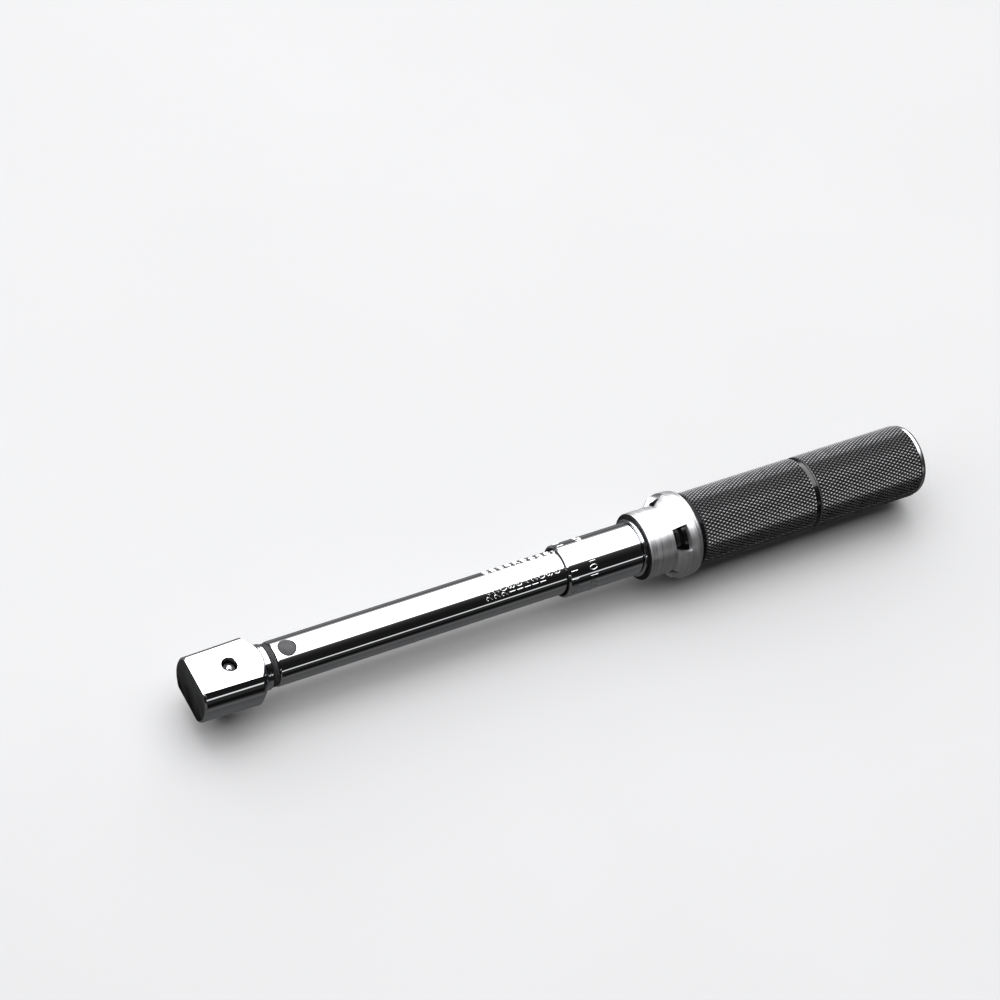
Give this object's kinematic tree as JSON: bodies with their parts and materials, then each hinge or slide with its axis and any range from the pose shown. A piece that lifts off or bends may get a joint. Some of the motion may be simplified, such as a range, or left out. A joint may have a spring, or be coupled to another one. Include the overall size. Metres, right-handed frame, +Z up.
{
  "type": "torque wrench",
  "caption": "Click-type torque wrench with a flat-sided square-drive head, chrome tube and scale sleeve, flared lock collar and black diamond-knurled grip",
  "frame": {"origin": "Centre of the bounding box in X and Y, at its lowest level, which is the tip of the square drive.", "axes": "X runs along the wrench from the head to the end cap, Z is up out of the head's flat that carries the hole (the square drive points down), and Y is across."},
  "size_m": [0.2776, 0.0296, 0.0302],
  "materials": {
    "polished_chrome": "mirror-polished chrome plate",
    "brushed_steel": "satin, turned lines round the axis",
    "pin_steel": "dull grey, ground end",
    "tool_steel": "machined steel",
    "spring_steel": "dark oiled spring wire",
    "bearing_steel": "polished ball steel",
    "nut_brass": "machined brass",
    "black_anodised": "black anodised, diamond knurled",
    "seal_rubber": "matt dark grey rubber"
  },
  "bodies": {
    "frame": {"tube": "polished_chrome", "pivot_pin": "pin_steel", "neck_seal": "seal_rubber", "fixed_nut": "nut_brass", "nut_pin_a": "tool_steel", "nut_pin_b": "tool_steel", "main_spring": "spring_steel"},
    "head": {"head_body": "polished_chrome", "square_drive": "brushed_steel", "release_spring": "spring_steel"},
    "release_button": {"release_pin": "bearing_steel"},
    "detent": {"detent_ball": "bearing_steel"},
    "plunger": {"plunger": "tool_steel"},
    "rocker": {"cam_block": "tool_steel"},
    "spring_carrier": {"spring_seat": "tool_steel", "thrust_ball": "bearing_steel"},
    "handle": {"adjusting_screw": "tool_steel", "scale_sleeve": "polished_chrome", "stop_ring": "polished_chrome", "lock_ball_a": "bearing_steel", "lock_ball_b": "bearing_steel", "lock_spring": "spring_steel", "grip": "black_anodised", "end_cap": "polished_chrome", "cap_screw": "tool_steel"},
    "collar": {"lock_collar": "brushed_steel"}
  },
  "joints": [
    {"name": "head_click", "type": "hinge", "parent": "frame", "child": "head", "pos_m": [-0.10615, 0, 0.0154], "axis": [0, 0, 1], "range_deg": [0, 2.5], "stiffness_Nm_per_rad": 40, "springref_deg": -1.15},
    {"name": "release_press", "type": "slide", "parent": "head", "child": "release_button", "axis": [0, 0, -1], "range_m": [0, 0.0012], "stiffness_N_per_m": 400, "springref_m": -0.001, "deforming": ["release_spring"]},
    {"name": "detent_in", "type": "slide", "parent": "head", "child": "detent", "axis": [0, 1, 0], "range_m": [0, 0.0003]},
    {"name": "plunger_back", "type": "slide", "parent": "frame", "child": "plunger", "axis": [1, 0, 0], "range_m": [0, 0.001], "deforming": ["main_spring"]},
    {"name": "rocker_tilt", "type": "hinge", "parent": "plunger", "child": "rocker", "pos_m": [-0.06275, 0, 0.0154], "axis": [0, 0, 1], "range_deg": [-17.6, 0]},
    {"name": "adjuster_travel", "type": "slide", "parent": "frame", "child": "spring_carrier", "axis": [-1, 0, 0], "range_m": [0, 0.0291], "deforming": ["main_spring"]},
    {"name": "grip_turn", "type": "hinge", "parent": "spring_carrier", "child": "handle", "pos_m": [0.08125, 0, 0.0154], "axis": [-1, 0, 0], "range_deg": [0, 3600]},
    {"name": "collar_unlock", "type": "slide", "parent": "handle", "child": "collar", "axis": [1, 0, 0], "range_m": [0, 0.003], "stiffness_N_per_m": 600, "springref_m": -0.002, "deforming": ["lock_spring"]}
  ],
  "couplings": [
    {"joint": "plunger_back", "follows": "head_click", "m_per_rad": 0.0229},
    {"joint": "rocker_tilt", "follows": "head_click", "ratio": -7},
    {"joint": "detent_in", "follows": "release_press", "ratio": 0.25},
    {"joint": "adjuster_travel", "follows": "grip_turn", "m_per_rad": 0.00046154}
  ]
}
